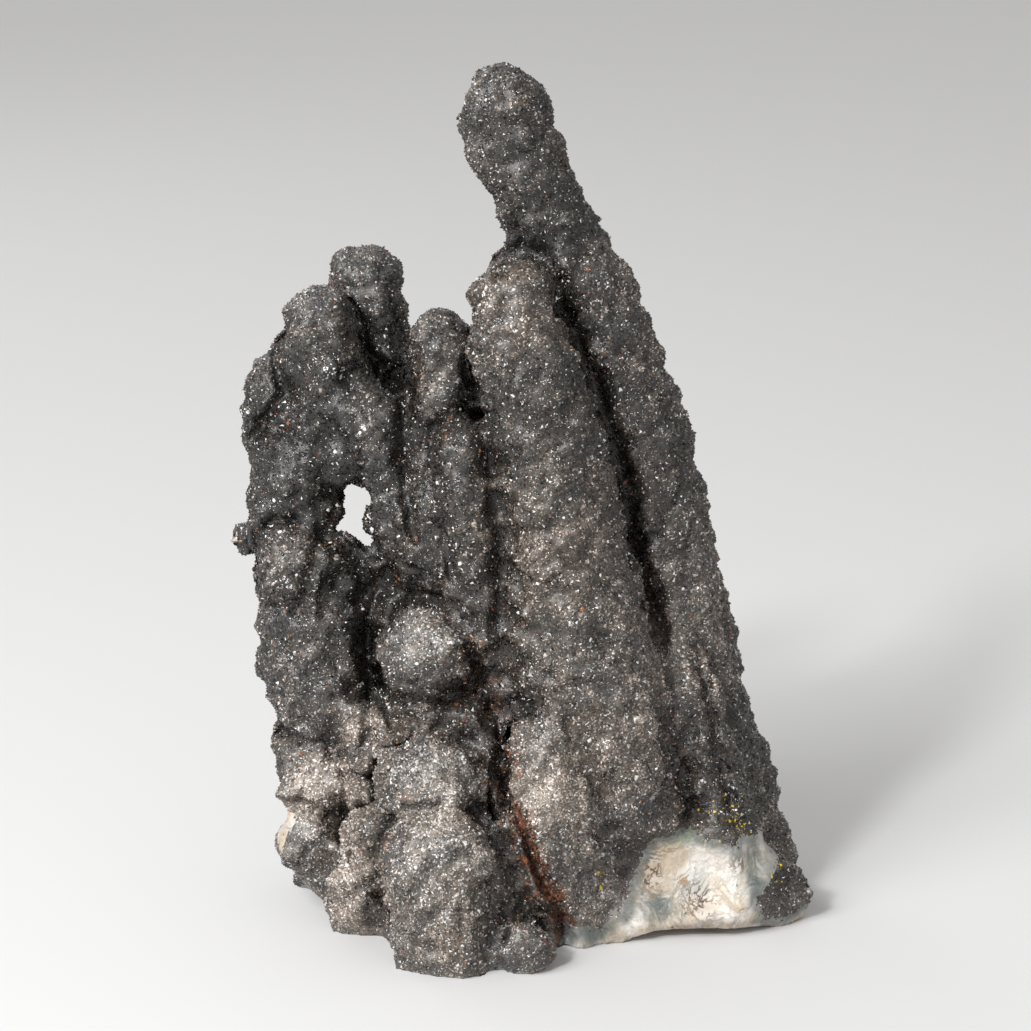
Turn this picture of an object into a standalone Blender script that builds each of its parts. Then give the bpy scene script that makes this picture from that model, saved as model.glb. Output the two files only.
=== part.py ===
import bpy
import bmesh
from mathutils import Matrix, Vector

# A cluster of quartz stalactites grown together on a foot of broken agate, all
# crusted with a druse of small crystals. It is one natural piece, about 305 mm
# tall, 210 mm wide and 120 mm deep, and stands on the flat cut under its foot.
# X runs to the right, Y to the back and Z up. The figures here are millimetres.
# VOXEL is the fineness of the skin, TRIANGLES its facets before the flat cut, DRUSE
# the crust's thickness over the forms, and each SIZE and HEIGHT pair one relief.

MM = 0.001
VOXEL = 1.9
TRIANGLES = 10300
BUMP_SIZE = 10.5
BUMP_HEIGHT = 5.5
SWELL_SIZE = 24.0
SWELL_HEIGHT = 3.2
DRUSE = 0.9
BREAK_SIZE = 16.0
BREAK_HEIGHT = 3.0

# Each finger is a run of stations from its rounded tip down: x, y, z, radius.
FINGERS = {
    "tallest": [
        (-4, 18, 288.5, 14.5), (-3, 18.5, 280, 15), (4, 20, 268, 15.3), (9, 21, 256, 14.5),
        (15, 22, 241, 16.5), (21, 22, 228, 19), (30, 22, 203, 20), (44, 23, 163, 20),
        (54, 25, 118, 20), (62, 27, 78, 20), (70, 28, 40, 21), (75, 29, -8, 22),
    ],
    "front": [
        (-1, -8, 226.5, 13.7), (-0.5, -8, 216, 15.3), (4, -8, 203, 17.5), (8, -7, 190, 19),
        (14, -7, 164, 20), (17, -6, 148, 21), (20, -6, 124, 24), (24, -5, 95, 27),
        (31, -3, 70, 26), (35, -2, 40, 26), (34, 0, -8, 25),
    ],
    "front low lobe": [
        (10, -25, 71, 14), (12, -27, 60, 15.5), (12, -27, 48, 16), (15, -23, 28, 16),
        (19, -17, 10, 15.5), (19, -15, -8, 15),
    ],
    "far right ridge": [
        (63, 34, 124, 8), (69, 36, 100, 10.5), (73, 38, 77, 10.5), (79, 38, 54, 12),
        (85, 36, 31, 13), (89, 32, 12, 14), (92, 28, -8, 14),
    ],
    "narrow right": [
        (59, 5, 98, 8.5), (62, 5, 83, 11), (66, 5, 64, 13), (69, 5, 46, 15),
        (71, 6, 28, 18), (74, 8, -8, 20),
    ],
    "middle": [
        (-26, 14, 207, 11), (-24, 14, 190, 13.5), (-24, 15, 171, 16),
        (-27, 15, 153, 20), (-27, 15, 137, 20), (-23, 14, 117, 15), (-23, 12, 95, 19),
        (-24, 10, 60, 25), (-22, 6, -8, 27),
    ],
    "middle shoulder": [
        (-18, -7, 173.5, 12), (-16, -6, 157, 12.5), (-14, -4, 134, 13),
        (-12, -1, 111, 14), (-11, 3, 80, 14),
    ],
    "rear left": [
        (-53, 47.5, 224, 12), (-53, 47.5, 212, 14.5), (-50, 47, 187, 13.5),
        (-42, 44, 166, 13), (-34, 40, 145, 14), (-30, 36, 110, 18), (-30, 30, 70, 22),
        (-32, 26, -8, 26),
    ],
    "left lobe": [
        (-68, 26, 210.5, 13.5), (-67, 26, 197, 13.8), (-66, 26, 182, 14),
        (-71, 26, 167, 13), (-79, 26, 156, 15.5), (-81, 25, 143, 15),
        (-80, 20, 127, 14), (-73, 20, 108, 20.5), (-70, 20, 91, 22), (-66, 19, 70, 20),
        (-70, 22, 44, 16), (-69, 25, 22, 14), (-62, 26, -8, 12),
    ],
    "left shoulder": [
        (-78, 31, 198, 10.5), (-83, 32, 187, 12.5), (-83, 32, 176, 13), (-80, 28, 165, 14.5),
        (-79, 26, 155, 14),
    ],
    "bridge": [
        (-64, 25, 184, 13), (-52, 21, 180, 13), (-44, 18, 170, 14.5),
        (-38, 16, 156, 14.5), (-36, 15, 144, 15), (-36, 15, 134, 12),
    ],
    "knob": [
        (-30, -9, 101, 15), (-28, -7, 88, 12.5), (-24, -5, 78, 16), (-25, -5, 62, 17),
    ],
    "low dome": [
        (-31, -20, 50, 17), (-32, -20, 36, 17), (-30, -20, 18, 17), (-28, -20, -8, 17),
    ],
    "front foot": [
        (-27, -41, 30, 16.5), (-26, -41, 20, 17), (-24, -40, 8, 18), (-23, -40, -8, 17.5),
    ],
    "front foot side": [
        (-10, -25, 37, 11), (-9, -27, 22, 11.5), (-8, -31, 6, 11), (-8, -31, -8, 11),
    ],
    "dark column": [(3, -20, 19, 9.5), (4, -19, 8, 10), (4, -19, -8, 10)],
    "left foot": [
        (-50, -17, 40, 10.5), (-52, -13, 25, 12), (-56, -8, 9, 11), (-57, -4, -8, 10),
    ],
    "rear tall": [(2, 44, 152, 12), (4, 43, 128, 15), (8, 42, 90, 18), (14, 38, -8, 24)],
    "rear short": [(40, 50, 104, 11), (42, 48, 84, 14), (46, 46, 50, 17), (50, 40, -8, 22)],
    "rear low": [(-52, 46, 110, 11), (-54, 46, 84, 15), (-55, 42, 40, 18), (-52, 38, -8, 20)],
    "rear left low": [(-72, 38, 66, 9), (-72, 37, 50, 11), (-70, 36, 22, 13), (-68, 34, -8, 13)],
}

# Single rounded lobes: x, y, z and the three half widths.
LOBES = {
    "front finger bump": (11, -21, 139, 11, 9, 10),
    "knob head": (-30.5, -11, 102.5, 18, 15.5, 16),
    "low dome head": (-30.5, -24, 59, 20, 14.5, 18.5),
    "front foot head": (-27.5, -43, 38, 19.5, 15.5, 18),
    "crevice lobe": (-1, -9, 88, 7, 7, 9),
    "knob side": (-14, -4, 98, 8, 7, 9),
    "small dome": (-12, -13, 68, 9, 9, 11),
    "crevice step": (-2, -12, 52, 8, 9, 15),
    "left of dome": (-51, -3, 70, 10, 10, 11),
    "left foot top lobe": (-71, 9, 49, 14, 13, 14),
    "left foot low lobe": (-73, 5, 27, 12.5, 12, 13),
    "hollow back": (-42, 17, 106, 12, 11, 20),
    "small front knob": (3, -46, 7, 10, 10, 10),
    "left edge knob": (-95, 32, 133, 6, 6, 6),
    "hole sill": (-61, 19, 125, 12, 11, 12.5),
    "hole sill end": (-49, 18, 126, 9, 8, 8.5),
    "hole lintel": (-59, 23, 167, 13, 12, 12),
    "hole side": (-72, 24, 147, 10, 10, 11),
    "white spot lobe": (-78, 10, 128, 15, 12, 13),
    "rear ledge": (-1, 24, 233, 8, 7, 6),
    "root": (-4, 20, 6, 70, 32, 36),
    "right foot": (64, 2, 8, 36, 24, 28),
    "right tip": (92, 2, 7, 14, 12, 14),
    "narrow right foot": (68, -2, 28, 18, 17, 17),
    "left column root": (-62, 18, 24, 18, 18, 34),
}

# Pieces that broke away: x, y, z, the three half widths and the tilt about X.
SCOOPS = {
    "broken face": (63, -40, 24, 38, 27, 22, 0.3),
    "arch": (66, -18, -24, 60, 42, 27.5, 0.0),
    "under hollow": (-8, 12, -26, 50, 28, 33, 0.0),
    "left undercut": (-88, 10, -7, 27, 24, 16, 0.0),
}


def clear_scene():
    for old in list(bpy.data.objects):
        bpy.data.objects.remove(old, do_unlink=True)


def finger_mesh(name, stations):
    curve = bpy.data.curves.new(name, "CURVE")
    curve.dimensions = "3D"
    curve.resolution_u = 5
    curve.bevel_depth = MM
    curve.bevel_resolution = 6
    curve.use_fill_caps = True
    spline = curve.splines.new("BEZIER")
    spline.bezier_points.add(len(stations) - 1)
    spline.radius_interpolation = "CARDINAL"
    for point, (x, y, z, radius) in zip(spline.bezier_points, stations):
        point.co = Vector((x, y, z)) * MM
        point.radius = radius
        point.handle_left_type = "AUTO"
        point.handle_right_type = "AUTO"
    holder = bpy.data.objects.new(name, curve)
    bpy.context.collection.objects.link(holder)
    bpy.context.view_layer.update()
    ready = holder.evaluated_get(bpy.context.evaluated_depsgraph_get())
    mesh = bpy.data.meshes.new_from_object(ready)
    bpy.data.objects.remove(holder, do_unlink=True)
    return mesh


def add_ball(bm, centre, half_widths, tilt=0.0, detail=3):
    place = Matrix.Translation(Vector(centre) * MM)
    turn = Matrix.Rotation(tilt, 4, "X")
    size = Matrix.Diagonal((*[w * MM for w in half_widths], 1.0))
    bmesh.ops.create_icosphere(
        bm, subdivisions=detail, radius=1.0, matrix=place @ turn @ size)


def grown_forms():
    bm = bmesh.new()
    for name, stations in FINGERS.items():
        bm.from_mesh(finger_mesh(name, stations))
        x, y, z, radius = stations[0]
        add_ball(bm, (x, y, z), (radius, radius, radius))
    for x, y, z, wide, deep, high in LOBES.values():
        add_ball(bm, (x, y, z), (wide, deep, high))
    mesh = bpy.data.meshes.new("druzy_stalactite_cluster")
    bm.to_mesh(mesh)
    bm.free()
    return mesh


def cutter(name, bm):
    mesh = bpy.data.meshes.new(name)
    bm.to_mesh(mesh)
    bm.free()
    obj = bpy.data.objects.new(name, mesh)
    bpy.context.collection.objects.link(obj)
    obj.hide_render = True
    obj.display_type = "WIRE"
    return obj


def scoop_cutter(name, centre, half_widths, tilt):
    bm = bmesh.new()
    add_ball(bm, centre, half_widths, tilt, 4)
    obj = cutter(name, bm)
    displace(obj, "rough break", texture(name, "CLOUDS", BREAK_SIZE), BREAK_HEIGHT, 0.5)
    return obj


def floor_cutter():
    bm = bmesh.new()
    size = Matrix.Diagonal((0.6, 0.6, 0.2, 1.0))
    place = Matrix.Translation((0.0, 0.0, -0.1))
    bmesh.ops.create_cube(bm, size=1.0, matrix=place @ size)
    return cutter("floor", bm)


def texture(name, kind, size):
    tex = bpy.data.textures.new(name, type=kind)
    tex.noise_scale = size * MM
    return tex


def displace(obj, name, tex, height, middle):
    mod = obj.modifiers.new(name, "DISPLACE")
    mod.texture = tex
    mod.texture_coords = "LOCAL"
    mod.strength = height * MM
    mod.mid_level = middle
    return mod


def subtract(obj, name, tool):
    mod = obj.modifiers.new(name, "BOOLEAN")
    mod.operation = "DIFFERENCE"
    mod.solver = "EXACT"
    mod.object = tool
    return mod


def settle(obj):
    bpy.context.view_layer.update()
    ready = obj.evaluated_get(bpy.context.evaluated_depsgraph_get())
    mesh = bpy.data.meshes.new_from_object(ready)
    obj.modifiers.clear()
    obj.data = mesh
    return obj


def keep_largest(obj):
    bm = bmesh.new()
    bm.from_mesh(obj.data)
    bm.verts.ensure_lookup_table()
    seen = set()
    groups = []
    for start in bm.verts:
        if start.index in seen:
            continue
        seen.add(start.index)
        group = [start]
        for vert in group:
            for edge in vert.link_edges:
                other = edge.other_vert(vert)
                if other.index not in seen:
                    seen.add(other.index)
                    group.append(other)
        groups.append(group)
    groups.sort(key=len)
    for group in groups[:-1]:
        bmesh.ops.delete(bm, geom=group, context="VERTS")
    bm.to_mesh(obj.data)
    bm.free()


clear_scene()

cluster = bpy.data.objects.new("druzy_stalactite_cluster", grown_forms())
bpy.context.collection.objects.link(cluster)

# The forms melt into one skin, which then swells and knobs like a druse.
melt = cluster.modifiers.new("grown together", "REMESH")
melt.mode = "VOXEL"
melt.voxel_size = VOXEL * MM
displace(cluster, "druse", None, DRUSE, 0.0)
displace(cluster, "swell", texture("swell", "CLOUDS", SWELL_SIZE), SWELL_HEIGHT, 0.5)
displace(cluster, "bumps", texture("bumps", "VORONOI", BUMP_SIZE), -BUMP_HEIGHT, 0.45)
settle(cluster)

# The scoops take the broken face, the arch beneath it and the hollows below.
cutters = []
for scoop_name, (x, y, z, wide, deep, high, tilt) in SCOOPS.items():
    cutters.append(scoop_cutter(scoop_name, (x, y, z), (wide, deep, high), tilt))
    subtract(cluster, scoop_name, cutters[-1])
settle(cluster)
again = cluster.modifiers.new("even skin", "REMESH")
again.mode = "VOXEL"
again.voxel_size = VOXEL * MM
settle(cluster)
keep_largest(cluster)

# The skin is thinned to flat facets and cut flat where it rests.
facets = sum(len(face.vertices) - 2 for face in cluster.data.polygons)
thin = cluster.modifiers.new("facets", "DECIMATE")
thin.ratio = TRIANGLES / facets
cutters.append(floor_cutter())
subtract(cluster, "cut flat", cutters[-1])
settle(cluster)
keep_largest(cluster)

for tool in cutters:
    bpy.data.objects.remove(tool, do_unlink=True)

# The origin moves to the middle of the outline on the floor.
corners = [vert.co for vert in cluster.data.vertices]
middle_x = (min(c.x for c in corners) + max(c.x for c in corners)) / 2
middle_y = (min(c.y for c in corners) + max(c.y for c in corners)) / 2
cluster.data.transform(Matrix.Translation((-middle_x, -middle_y, 0)))

quartz = bpy.data.materials.new("smoky druse quartz")
quartz.use_nodes = True
shader = quartz.node_tree.nodes["Principled BSDF"]
shader.inputs["Base Color"].default_value = (0.105, 0.095, 0.088, 1.0)
shader.inputs["Roughness"].default_value = 0.35
shader.inputs["Metallic"].default_value = 0.0
cluster.data.materials.clear()
cluster.data.materials.append(quartz)
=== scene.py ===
import math

import bpy
import numpy as np
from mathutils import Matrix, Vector, noise
from mathutils.bvhtree import BVHTree
from mathutils.kdtree import KDTree


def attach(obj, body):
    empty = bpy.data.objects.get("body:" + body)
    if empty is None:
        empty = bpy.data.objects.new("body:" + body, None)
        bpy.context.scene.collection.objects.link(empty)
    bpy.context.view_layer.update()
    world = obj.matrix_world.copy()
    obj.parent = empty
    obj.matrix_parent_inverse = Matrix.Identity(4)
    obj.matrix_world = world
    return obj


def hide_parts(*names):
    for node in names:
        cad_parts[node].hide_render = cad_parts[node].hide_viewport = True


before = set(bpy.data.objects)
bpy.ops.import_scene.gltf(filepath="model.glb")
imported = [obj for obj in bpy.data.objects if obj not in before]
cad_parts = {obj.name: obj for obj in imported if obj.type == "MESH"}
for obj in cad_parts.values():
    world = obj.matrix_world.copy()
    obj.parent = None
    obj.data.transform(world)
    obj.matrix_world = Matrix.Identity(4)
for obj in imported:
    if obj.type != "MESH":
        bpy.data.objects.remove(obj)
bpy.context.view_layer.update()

# The growth skin: the chalcedony that the fingers are made of, just under the druse.
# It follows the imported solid, with its seams drawn in and its surface knobbed like a
# cauliflower, and shows only as dark stone in the gaps between the crystals.
# Places, reaches, widths and depths are in mm, in the frame's own axes.
MM = 0.001
NODE = "druzy_stalactite_cluster"
SKIN_VOXEL = 1.75 * MM
SKIN_ROUNDING = 3
BROAD_ROUNDING = 60
SEAM_DEPTH_SHARE = 1.5
SEAM_DEPTH_LIMIT = 8.0 * MM
# The size and height of each relief, the level at which it neither rises nor sinks,
# and how much of it the upper sides lose.
KNOBS = {"knobs": (9.5, 2.7), "small knobs": (5.0, 2.4), "grains": (3.2, 1.4)}
KNOB_MIDDLE = 0.42
CALM_TOPS = 0.5
CRUST_FADE = 2.5
FOOT_LEVEL = 1.0 * MM
# Seams that the forms leave between them on the front: x and z along each, how wide
# it is and how deep it runs back.
SEAMS = {
    "rusty": ([(-7, 70), (-8, 62), (-4, 55), (1, 46), (6, 31), (11, 20), (14, 11), (16, 2)],
              2.2, 10.0),
    "right of the knob": ([(-18, 107), (-14, 92), (-8, 79), (-7, 70)], 1.6, 5.0),
    "right of the front finger": ([(11, 236), (15, 224), (20, 210), (28, 191), (35, 166),
                                   (40, 136), (46, 110), (49, 88), (54, 62), (60, 43)], 2.8, 5.5),
    "over the front finger": ([(-8, 239), (-2, 241), (3, 241), (8, 239), (12, 234), (14, 226),
                               (15, 217)], 2.4, 5.5),
    "left of the front finger": ([(-18, 212), (-15, 185), (-10, 160), (-7, 134), (-8, 113)],
                                 1.8, 3.0),
    "under the knob": ([(-52, 91), (-46, 85), (-39, 88), (-28, 87), (-20, 88), (-14, 95)],
                       2.0, 6.0),
    "above the low dome": ([(-47, 70), (-40, 73), (-30, 78), (-18, 74), (-10, 65), (-6, 54)],
                           1.5, 3.0),
    "left of the low dome": ([(-56, 43), (-52, 56), (-47, 70)], 1.4, 2.0),
    "around the front foot": ([(-48, 8), (-51, 20), (-50, 32), (-47, 45), (-40, 55), (-28, 58),
                               (-16, 52), (-8, 42), (-5, 32), (-3, 21), (-7, 13)], 1.5, 3.0),
    "above the side dome": ([(-18, 54), (-11, 51), (-3, 52), (0, 44)], 1.6, 3.5),
    "above the left foot": ([(-92, 63), (-83, 66), (-70, 65), (-62, 54), (-63, 39)], 2.0, 5.0),
    "across the left foot": ([(-86, 42), (-77, 44), (-68, 40), (-61, 41), (-60, 29)], 1.7, 3.5),
    "beside the middle shoulder": ([(-18, 189), (-26, 186), (-30, 177), (-28, 152), (-24, 131)],
                                   2.0, 4.0),
    "beside the narrow finger": ([(62, 103), (66, 84), (70, 62), (75, 44)], 2.2, 5.0),
    "behind the left finger": ([(-81, 216), (-85, 208), (-87, 200), (-83, 188), (-92, 177)],
                               2.2, 6.0),
    "right of the left finger": ([(-60, 222), (-58, 211), (-56, 204), (-52, 196), (-43, 192)],
                                 2.4, 6.5),
    "around the middle shoulder": ([(-31, 167), (-32, 177), (-28, 183), (-21, 187), (-15, 185),
                                    (-12, 177), (-10, 168)], 2.0, 5.5),
    "left of the middle finger": ([(-38, 209), (-37, 199), (-41, 186), (-42, 176), (-40, 158),
                                   (-37, 143)], 2.2, 6.0),
    "around the left lobe": ([(-81, 145), (-88, 145), (-94, 139), (-94, 118), (-88, 114)],
                             2.0, 5.0),
    "below the hole": ([(-65, 136), (-58, 130), (-52, 122), (-50, 113)], 2.2, 6.0),
    "across the left lobe": ([(-71, 138), (-74, 129), (-78, 114)], 1.8, 4.0),
    "above the left bridge": ([(-96, 172), (-87, 177), (-78, 174)], 2.0, 4.0),
    "left of the knob": ([(-48, 126), (-53, 113), (-55, 100), (-53, 83), (-54, 72)], 2.4, 6.0),
}
# How far back the front reaches at the foot and above the height that follows, and
# how far round the sides it still counts.
FRONT_REACH = (14.0, 30.0)
FRONT_STEP = 105.0
FRONT_ROUND = 0.6
# Hollows between the low lobes that druse has filled: x and z, reach, how far forward
# the filling comes, and the y that it stops at.
FILLED = [((-58, 48), 6.5, 24.0, -20), ((-55, 50), 6.0, 34.0, -23), ((-60, 58), 7.0, 14.0, -11),
          ((-55, 61), 5.0, 10.0, -19), ((-46, 76), 7.0, 10.0, -20), ((-43, 73), 5.5, 16.0, -27),
          ((-50, 88), 6.0, 4.0, 0), ((-34, 57), 6.0, 5.0, -50), ((-11, 56), 5.0, 8.0, -32),
          ((-10, 51), 5.5, 18.0, -33), ((-7, 62), 5.0, 8.0, -30), ((-6, 75), 4.0, 12.0, -22)]
# The hole is lined thickly with druse: x and z, reach and thickness. The fingers end in
# round tips: the place and reach of each.
HOLE = ((-59, 146), 11.0, 2.0)
ROUND_TIPS = [((-6, 17, 300), 14), ((-3, -11, 235), 13), ((-29, 14, 215), 12),
              ((-71, 25, 221), 13), ((-57, 44, 231), 19), ((-1, 41, 160), 14),
              ((39, 48, 112), 14)]
TIP_ROUNDING = 30
TIP_RISE = 2.6
# Where the foot is broken: the outline seen from the front, how far back it goes, less
# so above and below its middle, the patch on the left edge, how steeply an underside
# faces down and how high it lies, and the size and height of the wander of every edge.
BREAK_OUTLINE = [
    (14, 10), (19, 9), (28, 6), (35, 13), (39, 22), (42, 31), (47, 36), (56, 39),
    (63, 37), (77, 33), (85, 35), (92, 26), (89, 18), (84, 15), (87, 5), (96, 5),
    (102, 6), (106, 2), (106, -4), (14, -4),
]
BREAK_BACK = 8.0
BREAK_TAPER = 0.4
BREAK_MIDDLE = 20
EDGE_PATCH = (-89, -2, 33, 7.0)
UNDER_SLOPE = -0.6
UNDER_SHARPNESS = 9.0
UNDER_HEIGHT = 8.0
WANDER = (5.0, 2.5)


def settled_mesh(obj):
    bpy.context.view_layer.update()
    ready = obj.evaluated_get(bpy.context.evaluated_depsgraph_get())
    return bpy.data.meshes.new_from_object(ready)


def vertex_array(mesh, what="co"):
    values = np.empty(len(mesh.vertices) * 3, dtype=np.float32)
    mesh.vertices.foreach_get(what, values)
    return values.reshape(-1, 3)


def smoother(obj, name, rounds):
    smooth = obj.modifiers.new(name, "SMOOTH")
    smooth.factor = 0.5
    smooth.iterations = rounds


def relief(obj, name, kind, size, height, middle):
    texture = bpy.data.textures.new(name, kind)
    texture.noise_scale = size * MM
    push = obj.modifiers.new(name, "DISPLACE")
    push.texture = texture
    push.texture_coords = "LOCAL"
    push.strength = height * MM
    push.mid_level = middle
    return push


def cloud_at(spots, size, seed=0.0):
    move = Vector((seed, seed * 1.7, seed * 0.3))
    return np.array([noise.noise(Vector(s) / (size * MM) + move) for s in spots])


def path_distance(spots, path):
    """How far each spot is, in mm, from the nearest point of a path."""
    away = np.full(len(spots), 1e9)
    for start, end in zip(path, path[1:]):
        a, b = np.array(start, float), np.array(end, float)
        along = np.clip(((spots / MM - a) @ (b - a)) / ((b - a) @ (b - a)), 0, 1)
        away = np.minimum(away, np.linalg.norm(spots / MM - a - along[:, None] * (b - a), axis=1))
    return away


def front_nearness(spots, facing, path, reach):
    """1 on a path drawn on the front of the growth, fading to 0 over its reach."""
    flat = spots * np.array([1, 0, 1])
    away = path_distance(flat, [(x, 0, z) for x, z in path])
    back = np.where(spots[:, 2] > FRONT_STEP * MM, FRONT_REACH[1], FRONT_REACH[0])
    in_front = np.clip(FRONT_ROUND - facing[:, 1], 0, 1) * (spots[:, 1] < back * MM)
    return np.exp(-((away / reach) ** 2)) * in_front


def outline_distance(x, z, outline):
    """Signed distance in mm to a closed outline, positive inside."""
    inside = np.zeros(len(x), bool)
    for (ax, az), (bx, bz) in zip(outline, outline[1:] + outline[:1]):
        if az != bz:
            crossing = (az > z) != (bz > z)
            inside ^= crossing & (x < (bx - ax) * (z - az) / (bz - az) + ax)
    flat = np.stack([x, np.zeros(len(x)), z], axis=1) * MM
    away = path_distance(flat, [(px, 0, pz) for px, pz in outline + outline[:1]])
    return np.where(inside, away, -away)


def broken_depth(spots, facing):
    """How far, in mm, each spot lies inside a broken or cut face of the foot."""
    x, y, z = (spots / MM).T
    wander = cloud_at(spots, WANDER[0]) * WANDER[1]
    front = outline_distance(x, z, BREAK_OUTLINE) + wander
    taper = BREAK_TAPER * np.abs(z - BREAK_MIDDLE)
    front = np.minimum(front, BREAK_BACK - y + 3.0 * wander - taper)
    px, py, pz, reach = EDGE_PATCH
    edge = reach - np.sqrt((x - px) ** 2 + (y - py) ** 2 + (z - pz) ** 2) + 2 * wander
    under = np.minimum((UNDER_SLOPE - facing[:, 2]) * UNDER_SHARPNESS, UNDER_HEIGHT - z)
    return np.maximum(np.maximum(front, edge), under)


def grown_skin():
    """The skin's mesh, how far each vertex stands above its form, and how deep in a seam."""
    form = bpy.data.objects.new("skin form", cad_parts[NODE].data.copy())
    bpy.context.collection.objects.link(form)
    remesh = form.modifiers.new("even", "REMESH")
    remesh.mode = "VOXEL"
    remesh.voxel_size = SKIN_VOXEL
    smoother(form, "round off", SKIN_ROUNDING)
    close = settled_mesh(form)
    smoother(form, "round tips", TIP_ROUNDING)
    round_form = settled_mesh(form)
    smoother(form, "broad form", BROAD_ROUNDING - TIP_ROUNDING)
    broad = settled_mesh(form)
    start, outward = vertex_array(close), vertex_array(close, "normal")
    at_tip = np.zeros(len(start))
    for tip, reach in ROUND_TIPS:
        away = np.linalg.norm(start / MM - np.array(tip), axis=1) / reach
        at_tip = np.maximum(at_tip, np.exp(-away ** 2))
    rounded = vertex_array(round_form) + vertex_array(round_form, "normal") * TIP_RISE * MM
    start = start + (rounded - start) * at_tip[:, None]
    rise = ((start - vertex_array(broad)) * outward).sum(axis=1)
    drawn_in = np.clip(rise * SEAM_DEPTH_SHARE, -SEAM_DEPTH_LIMIT, 0.0)
    moved = start + outward * drawn_in[:, None]
    groove = np.zeros(len(start))
    for path, wide, deep in SEAMS.values():
        groove = np.maximum(groove, deep * front_nearness(start, outward, path, wide))
    filling = np.zeros(len(start))
    for (x, z), reach, forward, limit in FILLED:
        room = np.clip(start[:, 1] / MM - limit, 0, forward)
        near = front_nearness(start, outward, [(x, z), (x, z + 1)], reach)
        filling = np.maximum(filling, room * near)
    groove -= filling
    moved[:, 1] += groove * MM
    (x, z), reach, inward = HOLE
    lining = np.hypot(moved[:, 0] / MM - x, moved[:, 2] / MM - z) / reach
    moved += outward * (inward * MM * np.exp(-lining ** 2))[:, None]
    close.vertices.foreach_set("co", moved.ravel())
    form.modifiers.clear()
    form.data = close
    crusted = form.vertex_groups.new(name="crusted")
    share = np.clip(-broken_depth(moved, outward) / CRUST_FADE, 0, 1)
    share *= 1 - CALM_TOPS * np.clip(outward[:, 2], 0, 1) ** 2
    for index, weight in enumerate(share):
        crusted.add([index], weight, "REPLACE")
    smoother(form, "even out", 1)
    flat = vertex_array(settled_mesh(form))
    for name, (size, height) in KNOBS.items():
        relief(form, name, "VORONOI", size, -height, KNOB_MIDDLE).vertex_group = "crusted"
    mesh = settled_mesh(form)
    bpy.data.objects.remove(form, do_unlink=True)
    knob = ((vertex_array(mesh) - flat) * outward).sum(axis=1) / MM
    return mesh, knob, np.maximum(groove - drawn_in / MM, 0)


skin, knob_height, seam_depth = grown_skin()
points = vertex_array(skin)
points[points[:, 2] < FOOT_LEVEL, 2] = 0.0
skin.vertices.foreach_set("co", points.ravel())
skin.update()
skin.calc_loop_triangles()
corners = np.empty(len(skin.loop_triangles) * 3, dtype=np.int32)
skin.loop_triangles.foreach_get("vertices", corners)
corners = corners.reshape(-1, 3)
normals = vertex_array(skin, "normal")

# The growth's tone: how much paler and browner it is at each vertex than dark smoke. Knob tops and
# upper sides are painted paler as painted light from above, and the seams and sheltered hollows
# are painted darker as painted shade. Whole forms differ, partly in their own tone and partly as
# painted light and shade on the whole form: place, reach, paler by, browner by.
REGIONS = [
    ((-28, -60, 40), 24, 0.62, 0.25), ((-28, -60, 14), 12, 0.05, 0.3),
    ((-28, -38, 68), 18, 0.66, 0.0), ((-32, -24, 110), 16, 0.70, 0.05),
    ((-32, -22, 86), 10, -0.05, 0.1), ((-76, -5, 48), 22, 0.80, 0.35),
    ((-58, -26, 32), 18, 0.60, 0.35), ((-53, -17, 76), 14, 0.60, 0.35),
    ((-64, -18, 12), 14, 0.30, 0.3), ((-6, -48, 40), 9, 0.30, 0.0),
    ((8, -46, 58), 20, 0.58, 0.3), ((30, -34, 80), 34, 0.54, 0.35),
    ((32, -36, 26), 20, 0.40, 0.2), ((60, -18, 44), 16, 0.35, 0.1),
    ((3, -26, 135), 16, 0.26, 0.4), ((15, -30, 150), 32, 0.28, 0.4),
    ((0, -22, 226), 20, 0.50, 0.45), ((-7, 5, 290), 24, 0.08, 0.05),
    ((12, 6, 246), 13, -0.22, -0.2), ((26, 0, 196), 15, -0.12, 0.0),
    ((40, 0, 150), 15, -0.12, 0.0), ((58, -2, 110), 28, 0.42, 0.25),
    ((92, -8, 22), 24, -0.35, 0.2), ((-81, 13, 170), 26, -0.27, -0.15),
    ((-50, 30, 204), 12, -0.35, -0.1), ((-55, 34, 226), 14, 0.22, -0.15),
    ((-77, 16, 217), 14, 0.40, -0.1), ((-28, -2, 205), 14, 0.42, 0.05),
    ((-36, -9, 140), 16, 0.02, 0.1), ((-50, 0, 122), 14, -0.16, 0.1),
    ((-78, -4, 96), 22, 0.20, 0.0), ((-86, -4, 135), 10, 0.3, 0.0),
    ((45, 15, 175), 34, 0.10, 0.1), ((-16, -56, 40), 3, 0.5, 0.0), ((-58, -2, 50), 9, 0.3, 0.2),
    ((-20, 52, 40), 26, 0.50, 0.3), ((38, 48, 60), 26, 0.35, 0.35), ((-68, 48, 60), 24, 0.45, 0.1),
    ((-4, 54, 130), 24, 0.30, -0.1), ((60, 40, 110), 26, 0.25, 0.25),
    ((-66, 44, 170), 24, 0.30, 0.1), ((78, 36, 30), 24, 0.35, 0.3),
    ((20, 30, 220), 26, 0.25, 0.2), ((-46, 56, 110), 20, 0.15, 0.3),
]
PALER_BASE = 0.42
BROWNER_BASE = 0.46
# The painted bounce light from the floor, which makes the foot paler, and how high it reaches, and
# the sizes of the clouds in the tone.
PAINTED_BOUNCE_LIGHT = (0.42, 30.0)
CLOUD_SIZES = (40, 13, 4, 2.2)
# How wide the rust spreads from the rusty seam, and how far a trace of it goes.
RUST_REACH = 4.0
RUST_TRACE = (6.0, 0.25)


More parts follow.
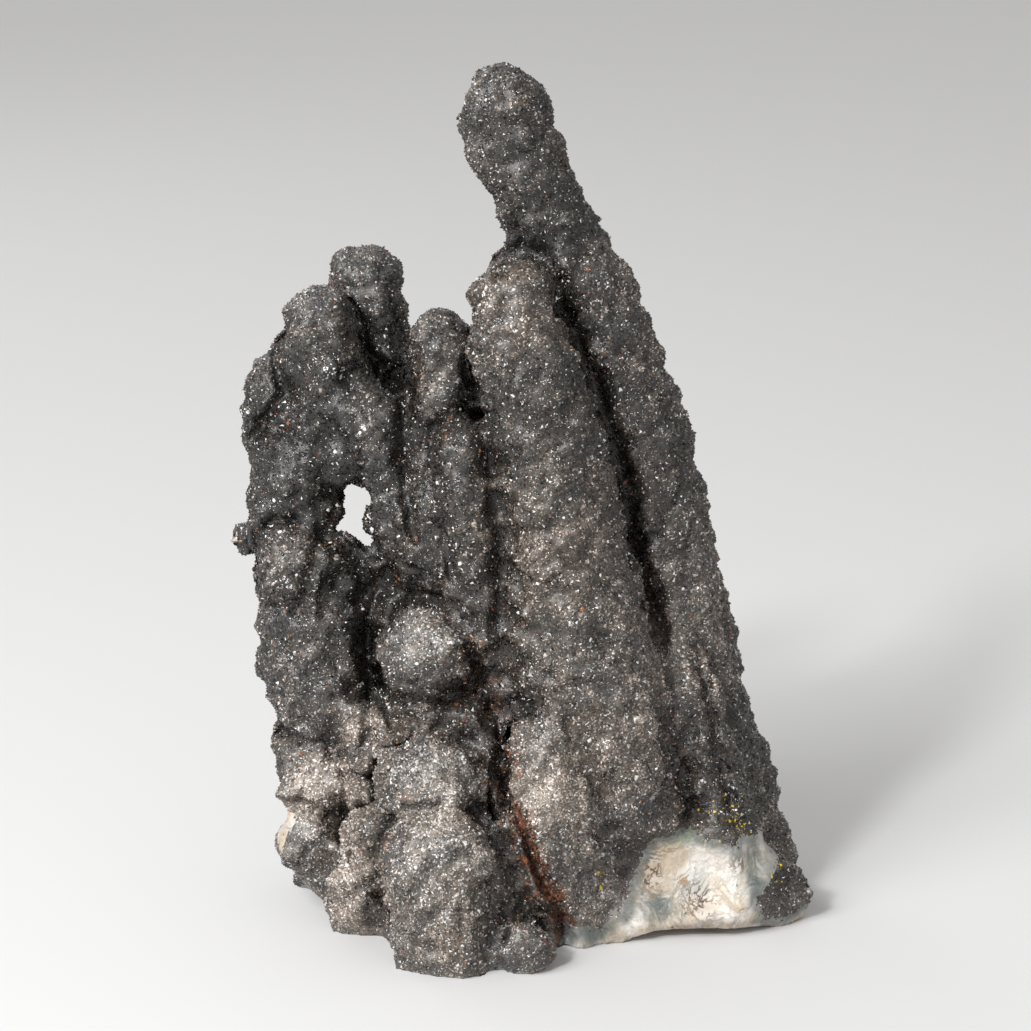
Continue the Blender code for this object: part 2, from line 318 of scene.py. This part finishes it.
def shelter(rays=26, reach=30 * MM):
    """How much of the open air each part of the skin is hidden from, 0 to 1."""
    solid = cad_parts[NODE].data
    tree = BVHTree.FromPolygons([v.co for v in solid.vertices],
                                [p.vertices for p in solid.polygons])
    around = [Vector(d).normalized() for d in random.normal(size=(rays, 3))]
    places = KDTree(len(solid.polygons))
    hidden = []
    for index, face in enumerate(solid.polygons):
        start = face.center + face.normal * 0.4 * MM
        outward = [d if d.dot(face.normal) > 0 else -d for d in around]
        blocked = sum(tree.ray_cast(start, d, reach)[0] is not None for d in outward)
        hidden.append(blocked / rays)
        places.insert(face.center, index)
    places.balance()
    nearest = np.array([[hit[1] for hit in places.find_n(p, 4)] for p in points])
    return np.array(hidden)[nearest].mean(axis=1)


random = np.random.default_rng(7)
sheltered = shelter()
broad, patchy, fine, clumps = (cloud_at(points, size, size) for size in CLOUD_SIZES)
paler = PALER_BASE + 0.10 * broad + 0.16 * patchy + 0.16 * fine + 0.30 * clumps
# Painted light: upward-facing sides are made paler, as if lit from above.
paler += 0.20 * normals[:, 2]
# Painted light and shade: knob tops are made paler and the seams darker.
paler += 0.12 * np.clip(knob_height, -2.5, 1.5) - 0.05 * np.clip(seam_depth, 0, 8)
# Painted shade: sheltered hollows are made darker.
paler -= 0.6 * np.clip(sheltered - 0.25, 0, 1)
browner = BROWNER_BASE + 0.35 * patchy + 0.3 * fine + 0.2 * sheltered
browner += 0.05 * np.clip(seam_depth, 0, 6)
for centre, reach, pale, brown in REGIONS:
    near = np.exp(-((np.linalg.norm(points / MM - np.array(centre), axis=1) / reach) ** 2))
    paler += pale * near
    browner += brown * near
# Painted light: sides facing the back are made paler, where the lamps reach little.
paler += 0.10 * np.clip(normals[:, 1], 0, 1)
# Painted bounce light: the growth is made paler near the floor.
paler += PAINTED_BOUNCE_LIGHT[0] * np.exp(-((points[:, 2] / MM / PAINTED_BOUNCE_LIGHT[1]) ** 2))
iron_path = [(x + 1, z) for x, z in SEAMS["rusty"][0]]
trace_path = SEAMS["right of the knob"][0] + iron_path
rusty = front_nearness(points, normals, iron_path[2:], RUST_REACH)
rusty += RUST_TRACE[1] * front_nearness(points, normals, trace_path, RUST_TRACE[0])
rusty *= np.clip(0.7 + 1.8 * fine, 0, 2)


# The stone under the crystals: dark chalcedony that takes the growth's tone, painted light and
# shade included, made a step darker as painted shade in the gaps between the crystals, with a fine
# speckle. The wrapped socket lets shader sums be written as plain expressions.
class Value:
    def __init__(self, tree, socket):
        self.tree = tree
        self.socket = socket

    def node(self, kind, settings=None, inputs=None, output=0):
        made = self.tree.nodes.new(kind)
        for key, setting in (settings or {}).items():
            setattr(made, key, setting)
        for key, value in (inputs or {}).items():
            if isinstance(value, Value):
                self.tree.links.new(value.socket, made.inputs[key])
            else:
                made.inputs[key].default_value = value
        return Value(self.tree, made.outputs[output])

    def sum(self, operation, left, right):
        return self.node("ShaderNodeMath", {"operation": operation}, {0: left, 1: right})

    def __add__(self, other):
        return self.sum("ADD", self, other)

    __radd__ = __add__

    def __sub__(self, other):
        return self.sum("SUBTRACT", self, other)

    def __rsub__(self, other):
        return self.sum("SUBTRACT", other, self)

    def __mul__(self, other):
        return self.sum("MULTIPLY", self, other)

    __rmul__ = __mul__

    def clamp(self, low, high):
        settings = {"interpolation_type": "SMOOTHSTEP"}
        return self.node("ShaderNodeMapRange", settings, {0: self, 1: low, 2: high})

    def blend(self, under, over):
        inputs = {0: self, 6: under, 7: over}
        return self.node("ShaderNodeMix", {"data_type": "RGBA"}, inputs, 2)


def new_material(name, colour, roughness, ior=1.54):
    material = bpy.data.materials.new(name)
    material.use_nodes = True
    shader = material.node_tree.nodes["Principled BSDF"]
    shader.inputs["Base Color"].default_value = (*colour, 1.0)
    shader.inputs["Roughness"].default_value = roughness
    shader.inputs["IOR"].default_value = ior
    return material, shader


def place_in(material):
    start = Value(material.node_tree, None)
    return start.node("ShaderNodeTexCoord", output=3)


def clouds(place, scale, detail=6.0, roughness=0.55, stretch=(1, 1, 1)):
    moved = place.node("ShaderNodeMapping", {}, {0: place, 3: stretch})
    inputs = {"Vector": moved, "Scale": scale, "Detail": detail, "Roughness": roughness}
    return place.node("ShaderNodeTexNoise", {}, inputs)


def new_piece(name, mesh, material):
    obj = bpy.data.objects.new(name, mesh)
    bpy.context.collection.objects.link(obj)
    mesh.materials.clear()
    mesh.materials.append(material)
    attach(obj, "root")
    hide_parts(NODE)


def part_of_skin(name, keep):
    """The skin's triangles where keep is true, as a mesh of their own."""
    chosen = corners[keep]
    used, renumbered = np.unique(chosen, return_inverse=True)
    mesh = bpy.data.meshes.new(name)
    mesh.from_pydata(points[used].tolist(), [], renumbered.reshape(-1, 3).tolist())
    mesh.shade_smooth()
    return mesh, used


DARKEST = 0.022
PALEST_OVER_DARKEST = 9.0
SMOKE_CAST = np.array([1.0, 0.99, 0.96])
BROWN_SHIFT = np.array([0.18, 0, -0.16])
RUST_COLOUR = np.array([0.20, 0.06, 0.025])


def stone_colour(pale, brown):
    """The stone's colour, an array of reds, greens and blues, at each tone."""
    tone = DARKEST * PALEST_OVER_DARKEST ** np.clip(pale, 0.0, 1.2)
    cast = SMOKE_CAST + np.clip(brown, 0, 1)[:, None] * BROWN_SHIFT
    return tone[:, None] * cast


skin_depth = broken_depth(points, normals)
broken = skin_depth[corners].mean(axis=1) > 0.0
crust_mesh, crust_used = part_of_skin("skin", ~broken)
# Painted shade: the skin is made a step darker than the crystals, as the gaps between them lie in
# shade.
colour = stone_colour(paler - 0.15, browner)[crust_used]
colour += 0.5 * rusty[crust_used][:, None] * (RUST_COLOUR - colour)
tones = crust_mesh.attributes.new("tone", "FLOAT_COLOR", "POINT")
tones.data.foreach_set("color", np.c_[colour, np.ones(len(colour))].astype(np.float32).ravel())

skin_stone, shader = new_material("smoky chalcedony", (0.05, 0.045, 0.04), 0.45)
place = place_in(skin_stone)
tone = place.node("ShaderNodeAttribute", {"attribute_name": "tone"})
speckle = clouds(place, 900.0, 3.0).clamp(0.40, 0.62)
tone = (speckle * 0.6).blend(tone, (0.012, 0.011, 0.010, 1))
skin_stone.node_tree.links.new(tone.socket, shader.inputs["Base Color"])
new_piece("chalcedony_skin", crust_mesh, skin_stone)


# The broken foot: white and cream agate with blue-grey rims, laid bare where the
# cluster broke from its rock. It shows on the front of the foot at the right, on
# the thin beige edge at the far left and all over the flat underside.
AGATE_RELIEFS = {"break": (9.0, 1.2), "chips": (2.4, 0.6), "grit": (0.9, 0.3)}
CREAM = (0.67, 0.55, 0.41, 1)
MILK = (0.84, 0.79, 0.73, 1)
BLUE_GREY = (0.13, 0.155, 0.15, 1)
PALE_BLUE = (0.47, 0.50, 0.48, 1)
TAN = (0.42, 0.24, 0.10, 1)
BROWN = (0.09, 0.045, 0.022, 1)
BONE = (0.85, 0.83, 0.79, 1)
# Clouded patches and veined stains of the break: where, how wide and high, colour,
# strength.
PATCHES = [
    ((58, -18, 36), (14, 4), (0.30, 0.33, 0.22, 1), 0.8), ((70, -18, 26), (10, 8), MILK, 0.7),
    ((52, -18, 26), (5, 9), CREAM, 0.6), ((62, -18, 12), (16, 4), CREAM, 0.5),
    ((49, -22, 11), (9, 7), BLUE_GREY, 0.95), ((60, -18, 18), (7, 5), PALE_BLUE, 0.7),
    ((78, -16, 16), (8, 7), PALE_BLUE, 0.85), ((86, -14, 30), (7, 7), BLUE_GREY, 0.95),
    ((82, -14, 20), (4, 9), BLUE_GREY, 0.9), ((98, -14, 6), (10, 4), BLUE_GREY, 0.9),
    ((24, -28, 6), (10, 6), BLUE_GREY, 0.9), ((36, -24, 10), (6, 3), TAN, 0.6),
    ((66, -18, 5), (22, 3), (0.30, 0.24, 0.18, 1), 0.7), (EDGE_PATCH[:3], (9, 9), TAN, 0.4),
]
VEINED = [
    ((46, -18, 22), (3.5, 8), TAN, 0.9), ((47, -18, 24), (3, 7), BROWN, 0.8),
    ((62, -18, 14), (8, 5), BROWN, 0.95), ((64, -18, 10), (10, 4), BROWN, 0.9),
    ((77, -18, 26), (4, 4), BROWN, 0.8), ((57, -18, 20), (3, 2.5), TAN, 0.9),
    ((52, -18, 31), (6, 3), TAN, 0.7), ((34, -24, 10), (8, 2.5), BROWN, 0.7),
]


agate_mesh, agate_used = part_of_skin("agate", broken)
rough = bpy.data.objects.new("agate form", agate_mesh)
bpy.context.collection.objects.link(rough)
inner = rough.vertex_groups.new(name="inner")
for index, depth in enumerate(skin_depth[agate_used]):
    flat = points[agate_used[index], 2] == 0.0
    inner.add([index], 0.0 if flat else min(max(depth / 3.0, 0.0), 1.0), "REPLACE")
finer = rough.modifiers.new("finer", "SUBSURF")
finer.subdivision_type = "SIMPLE"
finer.levels = 1
for name, (size, height) in AGATE_RELIEFS.items():
    relief(rough, name, "CLOUDS", size, height, 0.5).vertex_group = "inner"
agate_mesh = settled_mesh(rough)
bpy.data.objects.remove(rough, do_unlink=True)
agate_depth = broken_depth(vertex_array(agate_mesh), vertex_array(agate_mesh, "normal"))
depth_field = agate_mesh.attributes.new("depth", "FLOAT", "POINT")
depth_field.data.foreach_set("value", agate_depth.astype(np.float32))

agate, shader = new_material("broken agate", CREAM[:3], 0.38)
place = place_in(agate)
into_break = place.node("ShaderNodeAttribute", {"attribute_name": "depth"}, output=2)
warp = clouds(place, 55.0, 3.0)
drift = place.node("ShaderNodeTexNoise", {}, {"Vector": place, "Scale": 40.0, "Detail": 2.0}, 1)
bend = {"operation": "MULTIPLY_ADD"}
bent = place.node("ShaderNodeVectorMath", bend, {0: drift, 1: (0.03, 0.03, 0.03), 2: place})
fibres = clouds(bent, 420.0, 8.0, 0.65, (1.0, 1.0, 0.22))
off = clouds(bent, 210.0, 6.0, 0.72) - 0.5
vein = 1.0 - off.node("ShaderNodeMath", {"operation": "ABSOLUTE"}, {0: off}).clamp(0.0, 0.045)


def soft_patch(centre, wide, high, raggedness):
    """1 inside a ragged patch of the stone, fading to 0 at its edge."""
    reach = (1 / (wide * MM), 1 / (max(wide, high) * MM), 1 / (high * MM))
    middle = tuple(c * MM * r for c, r in zip(centre, reach))
    scaled = place.node("ShaderNodeVectorMath", {"operation": "MULTIPLY"}, {0: place, 1: reach})
    away = place.node("ShaderNodeVectorMath", {"operation": "DISTANCE"}, {0: scaled, 1: middle}, 1)
    ragged = away + (fibres - 0.5) * raggedness + (warp - 0.5) * 1.5
    return 1.0 - ragged.clamp(0.3, 1.35)


milky = clouds(bent, 110.0, 7.0, 0.62).clamp(0.36, 0.60)
tone = milky.blend(CREAM, MILK)
tone = (fibres.clamp(0.50, 0.68) * 0.45).blend(tone, PALE_BLUE)
for centre, (wide, high), colour, strength in PATCHES:
    share = soft_patch(centre, wide, high, 2.6) * (0.55 + fibres * 0.9) * strength
    tone = share.blend(tone, colour)
tone = ((1.0 - fibres.clamp(0.32, 0.44)) * 0.4).blend(tone, BONE)
for centre, (wide, high), colour, strength in VEINED:
    tone = (soft_patch(centre, wide, high, 1.0) * (vein + 0.12) * strength).blend(tone, colour)
pits = clouds(place, 330.0, 3.0).clamp(0.68, 0.74) * 0.85
tone = pits.blend(tone, BROWN)
rim = 1.0 - (into_break + warp * 6.0 - 4.4).clamp(0.0, 5.0)
rim = rim * (1.0 - soft_patch(EDGE_PATCH[:3], 16, 16, 0.5) * 0.85)
tone = (rim * (0.35 + fibres * 0.8)).blend(tone, BLUE_GREY)
agate.node_tree.links.new(tone.socket, shader.inputs["Base Color"])
height = fibres * 0.7 - vein * 0.3
bump = place.node("ShaderNodeBump", {}, {"Strength": 0.7, "Distance": 0.0007, "Height": height})
agate.node_tree.links.new(bump.socket, shader.inputs["Normal"])
new_piece("broken_agate_foot", agate_mesh, agate)


# The druse: quartz crystals 1 to 2 mm wide that grew side by side on the chalcedony with their
# points outwards, the larger ones in six faces and the small ones in three. Most are smoky grey,
# the low domes paler, a seam rust red and a few by the break lemon. Each crystal takes the
# growth's tone with its painted light and shade, and some crystals and facets are painted white
# glints.
SCATTERED = 1300000
CRYSTAL_PITCH = 1.0 * MM
CRYSTAL_LIMIT = 212000
CELL_ROW = 4096
PIECE_COUNT = 5
# Half the width in mm and its spread, and the least and most that it may be.
CRYSTAL_WIDTH = (0.57, 0.09)
LARGE_WIDTH = (0.86, 0.16)
WIDTH_LIMITS = (0.36, 1.4)
LARGE_SHARE = 0.09
THREE_SIDED_WIDER = 1.25
# The depth in the break, in mm, from which crystals are smaller, and by what share.
EDGE_SMALLER = (-5.0, 0.75)
# Height over half width and its spread, its limits, and how crooked a crystal is.
CRYSTAL_STEEPNESS = (1.1, 0.25)
STEEPNESS_LIMITS = (0.8, 2.6)
CRYSTAL_LEAN = 0.36
CRYSTAL_SUNK = 0.35
UNEVENNESS = 0.16
SHADES = {
    "black": 0.008, "dark": 0.022, "smoke": 0.048, "grey": 0.095, "light": 0.17, "pale": 0.29,
    "chalky": 0.46, "white": 0.78,
}
SHADE_STEPS = (0.16, 0.36, 0.56, 0.76, 0.96, 1.18, 1.46)
CASTS = {"cool": (1.0, 0.99, 0.97), "warm": (1.27, 0.95, 0.75), "green": (0.98, 1.0, 0.86)}
STAINED = {"rust": (0.27, 0.10, 0.045), "lemon": (0.80, 0.56, 0.02)}
# How much tone differs between crystals and, as painted reflection, between facets, and what share
# of crystals and of facets are painted white glints.
CRYSTAL_SPREAD = 0.12
FACET_SPREAD = 0.30
GLINT_CRYSTAL_SHARE = 0.012
GLINT_SHARE = 0.02
FROST_SPOTS = [((-67, 8, 199), 2.2, 0.9), ((-61, 12, 197), 2.0, 0.9), ((-83, -5, 125), 2.6, 0.9)]
LEMON_SPOTS = [((72, -12, 42), 6.0, 0.14), ((80, -10, 38), 5.0, 0.2), ((30, -32, 22), 3.5, 0.25),
               ((90, -10, 22), 5.0, 0.2)]


def scatter(count):
    """Even spots on the skin, the way they face and a vertex of the skin by each."""
    a, b, c = (points[corners[:, i]] for i in range(3))
    area = np.linalg.norm(np.cross(b - a, c - a), axis=1)
    chosen = random.choice(len(corners), count, p=area / area.sum())
    u, v = random.random((2, count))
    over = u + v > 1
    u[over], v[over] = 1 - u[over], 1 - v[over]
    weights = np.stack([1 - u - v, u, v], axis=1)[:, :, None]
    spots = (points[corners[chosen]] * weights).sum(axis=1)
    facing = (normals[corners[chosen]] * weights).sum(axis=1)
    facing /= np.linalg.norm(facing, axis=1)[:, None]
    cells = np.floor(spots / CRYSTAL_PITCH).astype(np.int64)
    keys = (cells[:, 0] * CELL_ROW + cells[:, 1]) * CELL_ROW + cells[:, 2]
    _, first = np.unique(keys, return_index=True)
    first = random.permutation(first)
    return spots[first], facing[first], corners[chosen[first], 0]


spots, facing, near = scatter(SCATTERED)
depth = broken_depth(spots, facing)
keep = (depth < random.random(len(spots)) ** 3 * 2.5 - 0.2) & (spots[:, 2] > 0.3 * MM)
keep = np.flatnonzero(keep)[:CRYSTAL_LIMIT]
spots, facing, near, depth = (x[keep] for x in (spots, facing, near, depth))


def nearness(spots, centre, reach):
    away = np.linalg.norm(spots / MM - np.array(centre), axis=1)
    return np.exp(-((away / reach) ** 2))


TINTS = {}
for cast, (red, green, blue) in CASTS.items():
    for shade, tone in SHADES.items():
        whiter = np.array([red, green, blue]) ** (1 - tone)
        TINTS[f"{cast} {shade}"] = tuple(tone * whiter)
TINTS.update(STAINED)
NAMES = list(TINTS)


def stained_or_glinting_crystals():
    """The index in TINTS of each crystal that is all stained or all a painted white glint, and -1
    for the others.
    """
    count = len(spots)
    stain_or_glint = np.full(count, -1)
    # Painted glints: a share of whole crystals is made white.
    stain_or_glint[random.random(count) < GLINT_CRYSTAL_SHARE] = NAMES.index("cool white")
    rust = 0.003 + 0.02 * np.clip(seam_depth[near] / 5, 0, 1) + 0.5 * rusty[near]
    stain_or_glint[random.random(count) < rust] = NAMES.index("rust")
    for name, places in (("lemon", LEMON_SPOTS), ("cool white", FROST_SPOTS)):
        for centre, reach, share in places:
            marked = random.random(count) < share * nearness(spots, centre, reach)
            stain_or_glint[marked] = NAMES.index(name)
    return stain_or_glint


def facet_tints(owner):
    """The index in TINTS of each facet, from the crystal that it is on: its tone with painted
    light and shade, a random spread as painted reflection and a share of painted white glints.
    """
    count = len(owner)
    level = (paler[near] + random.normal(size=len(near)) * CRYSTAL_SPREAD)[owner]
    shade = np.digitize(level + random.normal(size=count) * FACET_SPREAD, SHADE_STEPS)
    # Painted glints: a share of facets is made white.
    shade[random.random(count) < GLINT_SHARE] = len(SHADES) - 1
    green = 0.30 + 0.6 * patchy[near[owner]]
    cast = np.where(random.random(count) < green, 2, 0)
    cast[random.random(count) < browner[near[owner]]] = 1
    tint = cast * len(SHADES) + shade
    marked = stain_or_glint[owner] >= 0
    tint[marked] = stain_or_glint[owner][marked]
    return tint


def crystal_points(chosen, sides):
    """Pointed crystals of three or six faces: their corners and their triangles."""
    count = len(chosen)
    wide = width[chosen] * (1.0 if sides == 6 else THREE_SIDED_WIDER)
    axis = facing[chosen] + random.normal(size=(count, 3)) * CRYSTAL_LEAN
    axis /= np.linalg.norm(axis, axis=1)[:, None]
    side = np.cross(axis, random.normal(size=(count, 3)))
    side /= np.linalg.norm(side, axis=1)[:, None]
    other = np.cross(axis, side)
    steepness = np.clip(random.normal(*CRYSTAL_STEEPNESS, count), *STEEPNESS_LIMITS)
    height = width[chosen] * steepness
    base = spots[chosen] - facing[chosen] * (wide * CRYSTAL_SUNK)[:, None]
    ring = []
    for step in range(sides):
        turn = step * 2 * math.pi / sides
        uneven = wide * (1 + UNEVENNESS * random.normal(size=count))
        ring.append(base + side * (math.cos(turn) * uneven)[:, None]
                    + other * (math.sin(turn) * uneven)[:, None])
    off = random.normal(size=(2, count)) * UNEVENNESS * wide
    tip = base + axis * height[:, None] + side * off[0][:, None] + other * off[1][:, None]
    verts = np.stack(ring + [tip], axis=1)
    verts[:, :, 2] = np.maximum(verts[:, :, 2], 0.0)
    fan = np.array([(i, (i + 1) % sides, sides) for i in range(sides)])
    faces = fan[None] + (np.arange(count) * (sides + 1))[:, None, None]
    return verts.reshape(-1, 3), faces.reshape(-1, 3)


def triangle_mesh(name, verts, faces):
    mesh = bpy.data.meshes.new(name)
    mesh.vertices.add(len(verts))
    mesh.vertices.foreach_set("co", verts.astype(np.float32).ravel())
    mesh.loops.add(len(faces) * 3)
    mesh.loops.foreach_set("vertex_index", faces.astype(np.int32).ravel())
    mesh.polygons.add(len(faces))
    mesh.polygons.foreach_set("loop_start", np.arange(0, len(faces) * 3, 3, dtype=np.int32))
    mesh.update()
    mesh.validate()
    return mesh


stain_or_glint = stained_or_glinting_crystals()
stones = [new_material(f"{name} quartz", colour, 0.14, 1.52)[0] for name, colour in TINTS.items()]
big = random.random(len(spots)) < LARGE_SHARE
width = random.normal(*CRYSTAL_WIDTH, len(spots))
width[big] = random.normal(*LARGE_WIDTH, big.sum())
width = np.clip(width, *WIDTH_LIMITS) * MM * (1 + 0.2 * cloud_at(spots, 20, 5))
width *= np.where(depth > EDGE_SMALLER[0], EDGE_SMALLER[1], 1.0)
order = np.argsort(spots[:, 0])
for part, chosen in enumerate(np.array_split(order, PIECE_COUNT)):
    large = big[chosen]
    verts, faces = crystal_points(chosen[large], 6)
    small_verts, small_faces = crystal_points(chosen[~large], 3)
    faces = np.concatenate([faces, small_faces + len(verts)])
    verts = np.concatenate([verts, small_verts])
    mesh = triangle_mesh(f"druse {part + 1}", verts, faces)
    new_piece(f"druse_crystals_{part + 1}", mesh, stones[0])
    for stone in stones[1:]:
        mesh.materials.append(stone)
    owner = np.concatenate([np.repeat(chosen[large], 6), np.repeat(chosen[~large], 3)])
    mesh.polygons.foreach_set("material_index", facet_tints(owner).astype(np.int32))


# The studio: a wide pale floor under a pale sky, a broad soft light from the upper
# left front, a small hard one for the glints and two weaker ones from behind, seen
# through a long lens from just above. Each light: place in metres, size, watts.
VIEW_RISE = 15.0
VIEW_FAR = 1.2
VIEW_AIM = (-2.0, -2.7, 150.0)
LENS = 120.0
SKY = 0.57
LIGHTS = {
    "soft box": ((-1.1, -1.05, 1.35), 1.1, 24.0), "key": ((-0.95, -1.55, 1.35), 0.3, 24.0),
    "back": ((-0.3, 3.4, 2.6), 2.6, 8.0), "rim": ((-1.1, 1.4, 1.2), 0.9, 4.0),
}
LIGHTS_AIM = (0, 0, 0.12)
FLOOR_REACH = 9
floor_stone, _ = new_material("pale paper", (0.70, 0.70, 0.70), 0.9)
mesh = bpy.data.meshes.new("floor")
square = ((-1, -1), (1, -1), (1, 1), (-1, 1))
floor_corners = [(x * FLOOR_REACH, y * FLOOR_REACH, 0) for x, y in square]
mesh.from_pydata(floor_corners, [], [(0, 1, 2, 3)])
mesh.materials.append(floor_stone)
floor = bpy.data.objects.new("floor", mesh)
bpy.context.collection.objects.link(floor)

for name, (spot, size, watts) in LIGHTS.items():
    data = bpy.data.lights.new(name, "AREA")
    data.shape = "DISK"
    data.size = size
    data.energy = watts
    lamp = bpy.data.objects.new(name, data)
    bpy.context.collection.objects.link(lamp)
    lamp.location = spot
    away = Vector(spot) - Vector(LIGHTS_AIM)
    lamp.rotation_euler = away.to_track_quat("Z", "Y").to_euler()

world = bpy.data.worlds.new("pale room")
world.use_nodes = True
world.node_tree.nodes["Background"].inputs["Color"].default_value = (1.0, 0.99, 0.98, 1)
world.node_tree.nodes["Background"].inputs["Strength"].default_value = SKY
bpy.context.scene.world = world
bpy.context.scene.view_settings.view_transform = "Standard"

camera_data = bpy.data.cameras.new("camera")
camera_data.lens = LENS
camera_data.sensor_width = 36.0
camera_data.clip_start = 0.05
camera_data.clip_end = 50.0
camera = bpy.data.objects.new("camera", camera_data)
bpy.context.collection.objects.link(camera)
rise = math.radians(VIEW_RISE)
back = Vector((0.0, -math.cos(rise), math.sin(rise)))
camera.location = Vector(VIEW_AIM) * MM + back * VIEW_FAR
camera.rotation_euler = back.to_track_quat("Z", "Y").to_euler()
bpy.context.scene.camera = camera
